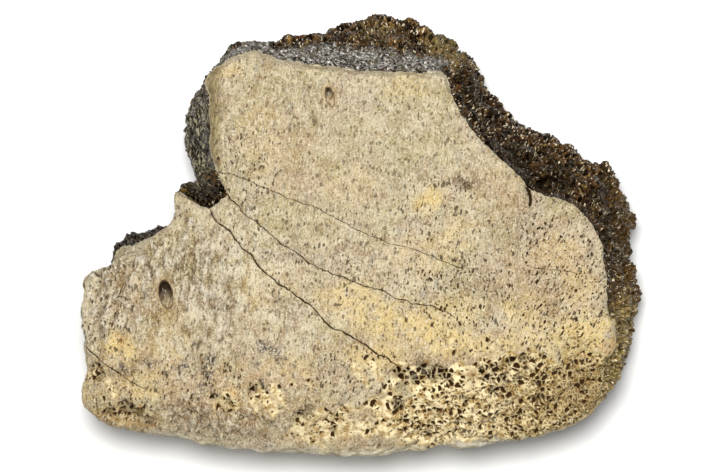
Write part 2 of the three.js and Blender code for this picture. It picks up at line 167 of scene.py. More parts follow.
# The largest hollows of the worn spongy bone: place and radius.
HOLLOWS = [
    (8.8, -26.8, 1.5), (11, -28.2, 1.3), (13.6, -26.2, 1.4), (16.2, -27, 1.3), (14.6, -28.6, 1),
    (18, -28.5, 0.9), (24.8, -26.6, 1), (25.7, -28.5, 1.1), (29.2, -28.6, 1.2), (30.6, -25, 1),
    (32.8, -24.4, 0.9), (27.6, -31, 0.9), (8, -34.2, 1.3), (-4.8, -39.4, 1), (-11.8, -36, 1.2),
    (-9.8, -34.9, 0.9), (-46.5, -34.6, 1.5), (-44.4, -36.2, 1.4), (-42, -37.4, 1.1), (-50, -35, 0.9),
    (-19, -30.1, 0.9), (-20.9, -30.8, 0.8), (22, -33, 0.8), (36.2, -32.8, 1), (38.6, -33, 0.8),
    (-53.6, -26.4, 1.2), (-52.4, -28, 0.9), (-28.4, -32.4, 0.8), (-25.6, -33.8, 0.8), (19.4, -33, 0.7),
]


# Every point's place in millimetres, and how far the surface faces up there: 1 is straight up.
def read_places():
    global mesh, count, x, y, z, facing_up
    mesh = fossil.data
    count = len(mesh.vertices)
    raw = np.empty(count * 3, np.float32)
    mesh.vertices.foreach_get("co", raw)
    x, y, z = (raw.reshape(-1, 3) * 1000 + (MIDDLE[0], MIDDLE[1], 0)).T.astype(np.float32)
    mesh.vertices.foreach_get("normal", raw)
    facing_up = raw.reshape(-1, 3)[:, 2].copy()


# Moves every point to the height that z now holds.
def move_heights():
    spots = np.stack([x - MIDDLE[0], y - MIDDLE[1], z], axis=1) / 1000
    mesh.vertices.foreach_set("co", spots.astype(np.float32).ravel())
    mesh.update()


# The height that the face would have without a hole, as a slope fitted to a ring about the hole.
def level_from(ring):
    spread = np.stack([x[ring], y[ring], np.ones(ring.sum())], axis=1)
    slope_x, slope_y, start = np.linalg.lstsq(spread, z[ring], rcond=None)[0]
    return slope_x * x + slope_y * y + start


# How far places lie across and along an oval, both 1 at its rim.
def across_and_along(at_x, at_y, middle_x, middle_y, reach_x, reach_y, turn):
    c, s = math.cos(math.radians(turn)), math.sin(math.radians(turn))
    far_x, far_y = at_x - middle_x, at_y - middle_y
    return (far_x * c + far_y * s) / reach_x, (far_y * c - far_x * s) / reach_y


# The round hollows are levelled with the face about them, to be carved again below with ragged edges.
# The face is everywhere higher than this, in millimetres.
FACE_ABOVE = 28
read_places()
in_hollow = np.min([np.hypot(x - hx, y - hy) - radius for hx, hy, radius in HOLLOWS], axis=0) < 0.5
for hx, hy, radius in HOLLOWS:
    from_middle = np.hypot(x - hx, y - hy)
    ring = (from_middle < radius + 2) & ~in_hollow & (facing_up > 0.5) & (z > FACE_ABOVE)
    level = level_from(ring)
    sunk = (from_middle < radius + 0.5) & (z < level) & (z > level - 4)
    z = np.where(sunk, level, z)
# The holes of blood vessels, each a smooth oval that is deepest at its upper end:
# place, reach each way, lean in degrees and depth.
VESSELS = [(-38.4, -11.7, 1.45, 3, 11, 2.8), (-5.6, 27.8, 0.95, 2.2, 14, 1.5), (-27.9, 15.2, 0.4, 0.9, 8, 1)]
for *oval, depth in VESSELS:
    u, v = across_and_along(x, y, *oval)
    out = np.hypot(u, v)
    ring = (out > 1.3) & (out < 1.9) & (facing_up > 0.5) & (z > FACE_ABOVE)
    level = level_from(ring)
    bowl = depth * np.sqrt(np.clip(1 - out ** 2, 0, 1)) * (0.3 + 0.7 * np.clip((v + 1) / 1.6, 0, 1))
    z = np.where((out < 1.3) & (z > level - 5) & (facing_up > -0.6), np.where(z < level, level, z) - bowl, z)
move_heights()
finish_modifier("REMESH", mode="VOXEL", voxel_size=FINE_VOXEL)
finish_modifier("SMOOTH", factor=0.5, iterations=3)
read_places()


# The distance of every point from a line in millimetres, below nought on its right.
def signed_distance_to(line):
    nearest = np.full(count, 1e9, np.float32)
    for (ax, ay), (bx, by) in zip(line[:-1], line[1:]):
        run_x, run_y = bx - ax, by - ay
        along = np.clip(((x - ax) * run_x + (y - ay) * run_y) / (run_x ** 2 + run_y ** 2), 0, 1)
        gap = np.hypot(x - ax - along * run_x, y - ay - along * run_y)
        side = np.where(run_x * (y - ay) > run_y * (x - ax), 1, -1)
        nearest = np.where(gap < np.abs(nearest), gap * side, nearest)
    return nearest


def distance_to(line):
    return np.abs(signed_distance_to(line))


def inside_of(line):
    inside = np.zeros(count, bool)
    for (ax, ay), (bx, by) in zip(line, line[1:] + line[:1]):
        if ay != by:
            inside ^= ((ay > y) != (by > y)) & (x < ax + (y - ay) * (bx - ax) / (by - ay))
    return inside


def soft_step(low, high, value):
    t = np.clip((value - low) / (high - low), 0, 1)
    return t * t * (3 - 2 * t)


# A patch is full in its middle and fades out to nothing at its edge, which wanders.
def patches(areas, wander=0.5):
    wx = x + wander * (np.sin(1.3 * y + 0.9 * x) + 0.6 * np.sin(2.9 * x - 2.1 * y))
    wy = y + wander * (np.sin(1.5 * x - 0.7 * y + 2) + 0.6 * np.sin(2.7 * y + 2.3 * x))
    strength = np.zeros(count, np.float32)
    for *oval, most in areas:
        u, v = across_and_along(wx, wy, *oval)
        strength = np.maximum(strength, most * soft_step(1.15, 0.45, np.hypot(u, v)))
    return strength


def depth_inside(line):
    return distance_to(line + line[:1]) * np.where(inside_of(line), 1, -1)


# Keeps a value for every point on the mesh, where the relief and the material read it.
def keep(name, values):
    mesh.attributes.new(name, "FLOAT", "POINT").data.foreach_set("value", values.astype(np.float32))


direction = np.degrees(np.arctan2(y - HUB[1], x - HUB[0])) % 360
turns, hems = (np.array(column, float) for column in zip(*PLATE_HEM))
hem = np.interp(direction, turns, hems, period=360)
ragged_hem = 1.6 * np.sin(0.8 * x + 0.5 * y) + 0.9 * np.sin(1.9 * y - 1.4 * x)
ragged_hem += 0.5 * np.sin(3.7 * x + 2.9 * y)
hem += soft_step(40, 34, hem) * ragged_hem
plate = np.minimum(np.maximum(depth_inside(FACE_RIM), np.where(hem < 40, 3, -9)), z - hem)
keep("plate", np.clip(plate, -6, 6))
on_face = soft_step(0.2, 0.5, facing_up) * soft_step(26, 30, z)
side_span = soft_step(42, 34, x) * (0.35 + 0.65 * soft_step(-46, -38, x))
keep("side", soft_step(0.75, 0.4, facing_up) * (y < -6) * side_span)
keep("seen", soft_step(-0.7, -0.2, facing_up))

# Where the plate is worn through to open spongy bone: along the bottom edge, and in a few pockets beside it.
WORN_EDGE = [
    (7, -24.8), (12, -25.2), (19, -25.6), (27, -24), (34, -22.4), (40, -24.5), (47, -23), (56, -23),
    (58, -31), (54, -38), (46, -44), (38, -43), (26, -43), (16, -43), (6, -43.2), (-6, -43), (-14, -41.5),
    (-15.5, -38), (-10, -34.5), (-3, -33.5), (4, -31.5), (6, -28),
]
wander = 0.7 * np.sin(1.1 * x + 0.8 * y) + 0.5 * np.sin(2.3 * y - 1.7 * x)
open_band = soft_step(-0.8, 1.6, depth_inside(WORN_EDGE) + wander) * (0.55 + 0.4 * soft_step(2, 16, x))
solid_spots = patches([
    (22.5, -28.8, 2.2, 3.4, 15, 0.7), (9, -30.6, 3, 2.2, 0, 0.7), (4, -41.5, 12, 1.8, 0, 0.5),
    (26, -42, 10, 1.2, 3, 1), (1, -36, 3, 2, 0, 0.4),
])
pockets = patches([
    (-18, -33, 5, 5, 0, 0.55), (-26.5, -33.5, 4, 3.6, 0, 0.5), (-45.5, -36, 6, 2.8, -12, 0.75),
    (-53, -27.5, 2.4, 2.6, 0, 0.8), (-11, -29, 5, 3, 0, 0.35), (-50, -31, 4, 4, 0, 0.4),
    (2, -27, 6, 5, 0, 0.4), (22, -22, 12, 4, 5, 0.35), (42, -22, 9, 4, 0, 0.4), (-34, -36, 6, 4, 0, 0.25),
]) * (1 + 0.3 * np.sin(1.7 * x + 1.1 * y))
not_under = soft_step(-0.3, 0.1, facing_up) * soft_step(16, 24, z)
keep("worn", not_under * np.maximum(open_band - 0.6 * solid_spots, pockets))
# Broken facets that cut across the fibres of the bone: along the top, and at the left of the notch.
top_facet = patches([
    (-5, 35.6, 24, 3.4, -1.5, 1), (-22, 36.8, 9, 2.4, 20, 1), (12, 34.6, 7, 2.6, -3, 1),
]) * soft_step(28, 37, z + 1.5 * np.sin(0.9 * x) + np.sin(2.3 * x + y))
left_facet = patches([(-32.3, 20, 3.6, 11, 2, 1)]) * soft_step(24, 30, z + 0.8 * np.sin(1.4 * y))
keep("facet", soft_step(0.5, -0.5, plate) * np.maximum(top_facet, left_facet))
# The strip of fibrous bone between the joint face and the left facet.
keep("bevel", on_face * soft_step(-27.2, -27.9, x + 0.2 * np.sin(2.1 * y)) * soft_step(11, 14, y))
keep("folded", on_face * patches([
    (-44, -6, 12, 10, 0, 1), (-47, -22, 9, 12, 0, 0.7), (-33, -8, 7, 11, -20, 1), (-30, -22, 10, 9, 0, 0.5),
    (-28, -36, 15, 5.5, 0, 0.9), (-23, 16, 5, 16, 0, 0.3), (-10, 24, 8, 8, 0, 0.3),
]))
# Streaks run down to the right at the lower left.
keep("streaked", on_face * patches([(-28, -36.5, 15, 5.5, 4, 1), (-12, -38, 8, 3, 0, 0.6)], 1.0))
# How strongly the face is mottled: least at its upper middle.
keep("lively", 1 - patches([(0, 20, 16, 12, 0, 0.55), (-8, 4, 12, 8, 0, 0.3), (30, 0, 10, 10, 0, 0.2)]))
# Darker places of the broken bone: painted shade in the pocket of the notch at the left, and darker patches
# of bone elsewhere.
keep("dark", patches([
    (-31.5, 8.6, 5.4, 3.2, 0, 0.75), (30, 15, 10, 5, -40, 0.7), (49, 3, 8, 10, 0, 0.5),
    (-45, 0, 9, 5, 25, 0.75), (53, -4, 5, 8, 0, 0.3), (38, 12, 8, 5, -25, 0.6), (26, 27, 6, 7, 0, 0.35),
]))
# Lumps of spongy bone that bulge out from under the plate at the left.
tucked_in = patches([(-38.2, 4.6, 2.6, 6, -8, 1)], 0.3)
keep("swell", (0.8 * patches([(-45.6, -0.4, 6, 3.2, 32, 1)], 0.3) - tucked_in) * soft_step(14, 22, z))
keep("pitted", on_face * patches([
    (40, -10, 14, 24, 0, 1), (20, -12, 16, 12, 0, 0.9), (18, 4, 12, 10, 0, 0.5), (-8, -8, 14, 10, 0, 0.5),
    (-22, 10, 8, 18, 0, 0.5), (-50, -14, 8, 16, 0, 0.6), (-30, -30, 16, 8, 0, 0.7), (0, -28, 12, 7, 0, 0.8),
    (-48, -34, 8, 6, 0, 0.8),
]))
keep("yellow", patches([
    (14, 7, 4.5, 2.6, 30, 0.9), (-1.5, -12.5, 8, 4, 0, 0.7), (8, -17, 14, 5, -10, 0.8),
    (17, -21, 8, 3.5, 0, 1), (45, -20, 6, 6, 0, 1), (50, -20, 3.4, 5.5, 0, 1),
    (-48, -36.4, 10, 3, -10, 0.75), (-54.4, -30, 1.6, 6, 0, 0.6), (-48, -22.5, 4.4, 4, 0, 1),
    (28, -22, 9, 3, 0, 0.7), (-43, -30, 6, 3.4, 0, 0.6), (4, -24, 8, 3, 0, 0.7), (-26, -33, 4, 3, 0, 0.6),
    (-14, -26, 6, 3, 0, 0.4), (30, -34, 12, 5, 0, 0.5), (-26, 33, 4, 2, 0, 0.5), (40, -3, 5, 4, 0, 0.35),
    (10, 30, 7, 3, 0, 0.3), (20, 0, 5, 4, 40, 0.5), (12, -4, 8, 5, 0, 0.35), (-20, 20, 6, 9, 0, 0.25),
    (-2, 10, 7, 5, 0, 0.25), (-18, -10, 8, 5, 0, 0.3), (-38, -20, 6, 8, 0, 0.3), (44, -10, 4, 6, 0, 0.4),
    (33, -14.5, 6, 3.6, 10, 0.7), (20, -15, 7, 4, 0, 0.5), (36, -19.5, 7, 3.4, 0, 0.7),
]))
keep("golden", np.maximum(
    soft_step(44, 50, x) * soft_step(-9, -20, y + 2 * np.sin(0.9 * x)) * soft_step(12, 26, z),
    patches([(18, 37.6, 6, 3.4, -35, 0.55), (4, 42, 6, 2, 0, 0.3)]),
))
keep("pale", patches([
    (-24, -8, 10, 14, -30, 0.8), (-44, -8, 9, 9, 0, 0.5), (-31, -22, 9, 6, 0, 0.5),
    (-13, -18, 9, 4, -30, 0.5), (-50, -16, 5, 8, 0, 0.4), (33, -14, 5, 6, 0, 0.5), (6, 20, 6, 10, 0, 0.3),
    (24, 4, 6, 6, 0, 0.4),
], 1.2))
keep("peach", patches([
    (-44, -28, 14, 8, 0, 0.5), (-25, -32, 20, 8, 0, 0.6), (38, -8, 13, 12, 0, 0.55),
    (10, -25, 25, 8, 0, 0.4), (-22, -20, 12, 8, 0, 0.2), (28, 8, 9, 7, 0, 0.4), (0, -38, 30, 6, 0, 0.5),
    (-14, 16, 7, 12, 0, 0.35), (-46, -12, 6, 8, 0, 0.3),
], 1.5))
keep("orange", patches([
    (46.8, -24, 2.6, 1.3, 0, 0.9), (50, -22.6, 2, 1.6, 0, 0.5), (-47, -37.4, 9, 1.3, -12, 0.5),
    (-47.5, -20.5, 1.3, 1, 0, 0.8), (-25, -31.5, 2, 1.4, 0, 0.4),
]))
keep("stain", patches([
    (21.8, 10.3, 3, 1.7, -12, 1), (21, 10.8, 1.4, 1, 0, 1), (-37.9, -14.6, 1.3, 1.5, 0, 0.8),
    (-47, -36.5, 10, 4, -8, 0.75), (-20, -38, 16, 4, 4, 0.3), (31, 2, 8, 6, 0, 0.3),
    (24, -10, 9, 6, 0, 0.3), (-53, -31, 2.4, 6, 0, 0.5), (-33, -37, 6, 3, 0, 0.4),
    (-15, -13.5, 6, 3, -40, 0.45), (-18, -3, 3, 2.5, 0, 0.4), (37, -12, 6, 7, 0, 0.4),
    (-46, -35.5, 2.2, 1.4, 0, 0.8), (-42, -37.5, 1.8, 1.2, 0, 0.8), (9, -30.6, 3, 1.8, 0, 0.6),
    (22.5, -28.8, 2, 3.4, 15, 0.5), (16, -35, 2, 1.4, 0, 0.6), (-40, -14, 4, 6, 0, 0.3),
    (-26, -12, 5, 5, 0, 0.35), (-6, -26, 4, 3, 0, 0.35), (-9, -38, 3, 2, 0, 0.4), (30, -33, 4, 3, 0, 0.35),
    (-50, -10, 3, 4, 0, 0.3), (44, -31, 6, 7, 0, 0.5), (12, -24.6, 5, 1.6, -10, 0.6),
]))
keep("blue", patches([
    (px, py, reach, reach * 0.85, 0, 1) for px, py, reach in [
        (-47.3, -26.4, 1.1), (-41.7, -25.2, 1), (-39.2, -27.1, 1), (-35.1, -26.2, 1.3), (-30, -27.3, 1.9),
        (-30.6, -30.2, 1.3), (-29.6, -24.6, 1.3), (-20.6, -25.6, 1), (-18.7, -21.8, 1.9), (-17, -23.2, 1.5),
        (-19, -29.8, 1.3), (-15.3, -24.8, 1.2), (-12.6, -25.7, 1.2), (-32.8, -21.6, 1.2), (-53.8, -24, 0.9),
        (8, -33.6, 0.9), (-25, -26.8, 0.9), (-44, -27.6, 0.8),
    ]
], 0.35))
keep("hollow", on_face * patches([
    (hx, hy, radius * 1.3, radius * 0.95, 40 * math.sin(5 * hx), 1) for hx, hy, radius in HOLLOWS
] + [
    (10, -27.6, 2.4, 1.2, -30, 0.7), (16, -28, 3, 1.4, 0, 0.6), (27, -27, 3.4, 1.6, 30, 0.6),
    (-11, -36, 2.4, 1.6, 20, 0.5),
], 0.3))
# For each vessel hole: how far inside it, and how far up it.
into_vessel = np.full(count, -1.0)
up_vessel = np.zeros(count)
for *oval, depth in VESSELS:
    u, v = across_and_along(x, y, *oval)
    up_vessel = np.where(1 - np.hypot(u, v) > into_vessel, v, up_vessel)
    into_vessel = np.maximum(into_vessel, 1 - np.hypot(u, v))
keep("vessel", into_vessel)
# Read by the colour to paint shade at the upper end of each hole, with less of it in the hole near the top of
# the face.
keep("up_vessel", up_vessel - 0.4 * (y > 20))
keep("lip", soft_step(-0.7, -0.1, into_vessel))
# Folds of the plate at the left of the face: raised crests and sunken valleys. The crests get a painted
# highlight and the valleys between them a painted brown shade.
CRESTS = [
    [(-33.3, 2.7), (-35.2, -1.1), (-36.9, -4.4), (-38.5, -7)],
    [(-41.2, -0.2), (-40.7, -4.4), (-40.2, -7.7)], [(-43.5, -4.4), (-45.4, -8.9), (-47.1, -12.5)],
    [(-42.6, -5.1), (-41.9, -8), (-42.6, -11.1), (-42, -14)],
    [(-49.7, -5.4), (-50.4, -9.2), (-50.2, -13.4), (-50.8, -18)],
    [(-52.8, -7.3), (-53.5, -10.6), (-52.8, -15.3)],
    [(-49.2, -12.5), (-46.8, -12.9), (-44.5, -14.6), (-43.8, -16.7), (-45.4, -18.2), (-48, -17.2)],
    [(-32.9, -11.1), (-31, -10.4), (-29.5, -11.5), (-27.2, -9.9)],
    [(-34.3, -13.4), (-34.5, -16.3), (-32.9, -18.2)], [(-39, -17.2), (-40, -21), (-38.4, -25)],
    [(-28, -14), (-27, -18), (-28.5, -22)], [(-31.2, 3.4), (-31, -1), (-29.6, -5)],
    [(-36, -20), (-34.5, -24), (-35.5, -28)],
]
VALLEYS = [
    [(-30, 0.1), (-33.3, -1.8), (-35.5, -4.9), (-36.7, -7.5)], [(-42.2, -1.6), (-42, -4.6), (-41, -9)],
    [(-44.5, -4.6), (-46.8, -9.4), (-48.4, -11.6)], [(-48.4, -5), (-48.6, -9), (-47.8, -10.6)],
    [(-51.6, -6.6), (-51.9, -11), (-51.5, -16), (-52.2, -20)],
    [(-48.6, -13.6), (-45.6, -14.2), (-44.6, -16.4)], [(-33.8, 1), (-34.8, 3.8)],
    [(-35.6, -12.6), (-36, -16.8), (-34, -20)], [(-29.4, -12.8), (-28.6, -16), (-30, -20)],
    [(-39.8, -15), (-41.4, -19), (-41.4, -24)], [(-26, -8), (-25, -13), (-25.6, -18)],
    [(-32, -20), (-31.6, -25), (-30, -28)],
]
bend_x, bend_y = 0.35 * np.sin(1.3 * y + 0.4 * x), 0.3 * np.sin(1.2 * x)
x, y = x + bend_x, y + bend_y
crest = np.max([soft_step(1.1, 0.1, distance_to(line)) for line in CRESTS], axis=0)
valley = np.max([soft_step(0.6, 0.05, distance_to(line)) for line in VALLEYS], axis=0)
x, y = x - bend_x, y - bend_y
keep("crest", on_face * crest * (0.7 + 0.3 * np.sin(1.1 * y + x)))
keep("valley", on_face * valley * (0.7 + 0.3 * np.sin(1.7 * y - x)))
strut_gap = np.min([distance_to(line) for line in [
    [(14.5, -41.6), (19, -38.6), (25, -34.8)], [(17, -42), (24, -37.4), (31, -32.8), (36, -30.4)],
    [(22, -36), (28, -32.6)], [(27, -31), (33, -27.6), (37, -25)], [(20, -41), (28, -36.6)],
    [(9.6, -29), (16, -25.2)],
]], axis=0)
keep("strip", soft_step(0.1, 0.4, facing_up) * patches([
    (26, -41.9, 10, 1.2, 4, 1), (6, -43.5, 14, 0.8, 0, 0.8), (-16, -43.2, 14, 0.8, 2, 0.6),
    (42, -38.6, 7, 0.7, 25, 0.4),
], 0.2))
strut_gap = strut_gap + 0.14 * np.sin(3.7 * x + 2 * y) + 0.1 * np.sin(1.6 * x)
keep("strut", on_face * soft_step(0.34, 0.1, strut_gap))

# The bone's fibres: up the face, across the top facet, and aslant at the right.
# The places are given along and across them, and squeezed along them, so that round grains get long.
lean = np.full(count, 84.0)
lean[(x > 32) & (y < 10)] = 62
lean[(y > 29) & (plate < 0.6)] = -24
lean[x < -29] = np.where(y[x < -29] > 10, 97, lean[x < -29])
lean = np.radians(lean)
along, across = x * np.cos(lean) + y * np.sin(lean), y * np.cos(lean) - x * np.sin(lean)
fibre_places = np.stack([along * 0.33, across, z * 0.6], axis=1) / 1000
fibres = mesh.attributes.new("fibres", "FLOAT_VECTOR", "POINT")
fibres.data.foreach_set("vector", fibre_places.astype(np.float32).ravel())


# Relief of the surface, by kind of bone. Every point also keeps the place it had before, for the colours.
relief = bpy.data.node_groups.new("broken_bone_relief", "GeometryNodeTree")
relief.interface.new_socket("Geometry", in_out="INPUT", socket_type="NodeSocketGeometry")
relief.interface.new_socket("Geometry", in_out="OUTPUT", socket_type="NodeSocketGeometry")


def math_node(tree, operation, *values):
    return add_node(tree, "ShaderNodeMath", dict(enumerate(values)), operation=operation).outputs[0]


def vector_node(tree, operation, value, other, into=1):
    return add_node(tree, "ShaderNodeVectorMath", {0: value, into: other}, operation=operation).outputs[0]


# One part of a place or colour: 0 for x or red, 1 for y or green, and 2 for z or blue.
def part_of(tree, vector, number):
    return add_node(tree, "ShaderNodeSeparateXYZ", {0: vector}).outputs[number]


def times(tree, value, other):
    return math_node(tree, "MULTIPLY", value, other)


def plus(tree, value, other):
    return math_node(tree, "ADD", value, other)


def between(tree, share, low, high):
    return add_node(tree, "ShaderNodeMix", {0: share, 2: low, 3: high}, data_type="FLOAT").outputs[0]


def ramp_node(tree, value, low, high, to_low=0.0, to_high=1.0):
    return add_node(
        tree, "ShaderNodeMapRange",
        {"Value": value, "From Min": low, "From Max": high, "To Min": to_low, "To Max": to_high},
        interpolation_type="SMOOTHSTEP",
    ).outputs["Result"]


def per_mm(size):
    return 1000 / size


def stretched(tree, place, by):
    return vector_node(tree, "MULTIPLY", place, by)


def cells(tree, place, size, feature="F1", output="Distance"):
    sockets = {"Vector": place, "Scale": per_mm(size)}
    return add_node(tree, "ShaderNodeTexVoronoi", sockets, feature=feature).outputs[output]


def mottle(tree, place, size, detail=2.0, roughness=0.5, output=0):
    sockets = {"Vector": place, "Scale": per_mm(size), "Detail": detail, "Roughness": roughness}
    return add_node(tree, "ShaderNodeTexNoise", sockets).outputs[output]


# Soft bumps and dips of one size, from the lowest to the highest.
def bumps(tree, place, size, lowest, highest):
    return ramp_node(tree, mottle(tree, place, size), 0.3, 0.7, lowest, highest)


# Moves a pattern's places about a little, so that its cells aren't even.
def shaken(tree, place, size, amount):
    shake = vector_node(tree, "SUBTRACT", mottle(tree, place, size, output=1), (0.5, 0.5, 0.5))
    push = vector_node(tree, "SCALE", shake, amount / 1000, "Scale")
    return vector_node(tree, "ADD", place, push)


# The pores between the walls of spongy bone, 1 in a pore and 0 on a wall. At an openness of 0 there are none,
# then pits in the middles of the largest cells, and at 1 only thin walls are left. Cells differ in openness.
def pores(tree, place, size, openness, sharpness=0.12, variety=0.5):
    uneven = shaken(tree, place, size * 1.6, size * 0.7)
    cell = add_node(tree, "ShaderNodeTexVoronoi", {"Vector": uneven, "Scale": per_mm(size)})
    rounded = math_node(tree, "MULTIPLY_ADD", cell.outputs["Distance"], -0.8, 0.66)
    into_cell = math_node(tree, "MINIMUM", cells(tree, uneven, size, "DISTANCE_TO_EDGE"), rounded)
    own = part_of(tree, cell.outputs["Color"], 0)
    openness = plus(tree, openness, ramp_node(tree, own, 0, 1, -variety, variety))
    wall = ramp_node(tree, openness, 0, 1, 0.5, 0.05)
    far_wall = plus(tree, wall, sharpness)
    return ramp_node(tree, into_cell, wall, far_wall)


def attribute_in(tree, name, kind="FLOAT"):
    if tree.bl_idname == "GeometryNodeTree":
        return add_node(tree, "GeometryNodeInputNamedAttribute", {"Name": name}, data_type=kind).outputs[0]
    read = add_node(tree, "ShaderNodeAttribute", attribute_name=name)
    return read.outputs["Vector" if kind == "FLOAT_VECTOR" else "Fac"]


# How far a place is inside the plate, whose edge is made ragged.
def ragged_edge(tree, plate, place):
    return plus(tree, plate, bumps(tree, place, 1.6, -0.08, 0.08))


# How open the pores of the plate are: closed where it is whole, and a mesh of walls where it is worn.
def plate_pores(tree, place, worn, hollow):
    uneven = ramp_node(tree, mottle(tree, place, 3.0, 3.0), 0.3, 0.7, -0.3, 0.2)
    worn_open = times(tree, worn, plus(tree, uneven, 0.88))
    worn_open = math_node(tree, "MULTIPLY_ADD", hollow, 0.7, worn_open)
    coarse = pores(tree, place, 1.15, worn_open, 0.14, 0.4)
    to_right = ramp_node(tree, part_of(tree, place, 0), 0.018, 0.036, 0.8, 1.2)
    fine = pores(tree, place, 0.68, times(tree, worn, to_right), 0.14, 0.4)
    on_worn = ramp_node(tree, math_node(tree, "MAXIMUM", worn, hollow), 0.05, 0.4)
    return times(tree, coarse, on_worn), times(tree, fine, on_worn)


# The coarse and fine pores of broken spongy bone.
def broken_pores(tree, place):
    coarse = pores(tree, place, 1.2, 0.95, 0.2, 0.15)
    fine = pores(tree, place, 0.6, 0.8, 0.16, 0.25)
    return coarse, fine


# Folds of the plate, 3 mm wide, from -1 in a dip to 1 on a crest.
def fold(tree, fibres):
    return ramp_node(tree, mottle(tree, shaken(tree, fibres, 3.0, 2.4), 1.5, 2.0), 0.34, 0.66, -1.0, 1.0)


# Wrinkles of the plate: thin wavy lines, mostly along the fibres.
def wrinkles(tree, fibres, width):
    level = mottle(tree, shaken(tree, fibres, 3.5, 3.0), 1.7, 2.0)
    from_line = math_node(tree, "ABSOLUTE", math_node(tree, "SUBTRACT", level, 0.5))
    return ramp_node(tree, from_line, width, width * 0.15)


geometry_in = add_node(relief, "NodeGroupInput").outputs[0]
place = add_node(relief, "GeometryNodeInputPosition").outputs[0]
fibres_in = attribute_in(relief, "fibres", "FLOAT_VECTOR")
plate_in = attribute_in(relief, "plate")
worn_in = attribute_in(relief, "worn")
ragged = ragged_edge(relief, plate_in, place)
broken = ramp_node(relief, ragged, 0.1, -0.1)
# Broken spongy bone: clods of 5 mm, with open pores of 1.2 mm and 0.6 mm between sharp walls.
clods = bumps(relief, place, 5.0, -0.9, 0.6)
lumps = bumps(relief, place, 2.0, -0.45, 0.45)
lumps = math_node(relief, "MULTIPLY_ADD", attribute_in(relief, "swell"), 1.3, lumps)
open_coarse, open_fine = broken_pores(relief, place)
open_coarse = times(relief, open_coarse, attribute_in(relief, "seen"))
open_fine = times(relief, open_fine, attribute_in(relief, "seen"))
holes = math_node(relief, "MULTIPLY_ADD", open_coarse, -0.95, times(relief, open_fine, -0.35))
rough_height = plus(relief, plus(relief, clods, lumps), holes)
# Right beside the plate, it lies a little lower, so that the plate's edge stands out clean.
rough_height = times(relief, rough_height, ramp_node(relief, plate_in, 0.0, -1.2, 0.3, 1.0))
rough_height = plus(relief, rough_height, ramp_node(relief, plate_in, 0.0, -1.2, -0.35, 0.1))
# Facets: shallow ridges of fibres.
fibre_height = plus(relief, bumps(relief, fibres_in, 0.8, -0.35, 0.35), bumps(relief, place, 4.0, -0.3, 0.3))
facet_in = attribute_in(relief, "facet")
broken_height = between(relief, facet_in, rough_height, fibre_height)
# Compact plate: soft waves, folds at the left, and open pores where it is worn.
waves = ramp_node(relief, mottle(relief, place, 5.0, 3.0, 0.6), 0.3, 0.7, -0.42, 0.42)
wrinkle_height = times(relief, wrinkles(relief, fibres_in, 0.12), -0.5)
folds = math_node(relief, "MULTIPLY_ADD", fold(relief, fibres_in), 0.32, wrinkle_height)
folds = times(relief, folds, attribute_in(relief, "folded"))
hollow_in = attribute_in(relief, "hollow")
plate_coarse, plate_fine = plate_pores(relief, place, worn_in, hollow_in)
coarse_depth = math_node(relief, "MULTIPLY_ADD", hollow_in, -0.9, -0.7)
pore_height = math_node(relief, "MULTIPLY_ADD", plate_coarse, coarse_depth, times(relief, plate_fine, -0.25))
worn_away = times(relief, worn_in, bumps(relief, place, 3.0, -0.8, 0.1))
hollow_height = times(relief, hollow_in, -0.6)
calm = math_node(relief, "SUBTRACT", 1.0, attribute_in(relief, "lip"))
valleys = times(relief, attribute_in(relief, "valley"), -0.7)
ridges = math_node(relief, "MULTIPLY_ADD", attribute_in(relief, "crest"), 0.75, valleys)
waves = times(relief, plus(relief, plus(relief, waves, folds), ridges), calm)
plate_height = plus(relief, pore_height, plus(relief, worn_away, hollow_height))
plate_height = plus(relief, waves, plate_height)
plate_height = math_node(relief, "MULTIPLY_ADD", attribute_in(relief, "strut"), 0.35, plate_height)
height = between(relief, broken, plate_height, broken_height)
off_table = ramp_node(relief, part_of(relief, place, 2), 0.0002, 0.003)
height = times(relief, times(relief, height, off_table), 0.001)
outward = add_node(relief, "GeometryNodeInputNormal").outputs[0]
move = vector_node(relief, "SCALE", outward, height, "Scale")
kept = add_node(relief, "GeometryNodeStoreNamedAttribute", {
    "Geometry": geometry_in, "Name": "place", "Value": place,
}, data_type="FLOAT_VECTOR").outputs[0]
moved = add_node(relief, "GeometryNodeSetPosition", {"Geometry": kept, "Offset": move}).outputs[0]
add_node(relief, "NodeGroupOutput", {0: moved})
finish_modifier("NODES", node_group=relief)

# Thinned most where the surface is plain, and then cut finely again along the cracks.
finish_modifier("TRIANGULATE")
finish_modifier("DECIMATE", ratio=min(1.0, TRIANGLES_BEFORE_CRACKS / len(fossil.data.polygons)))
finish_modifier("TRIANGULATE")
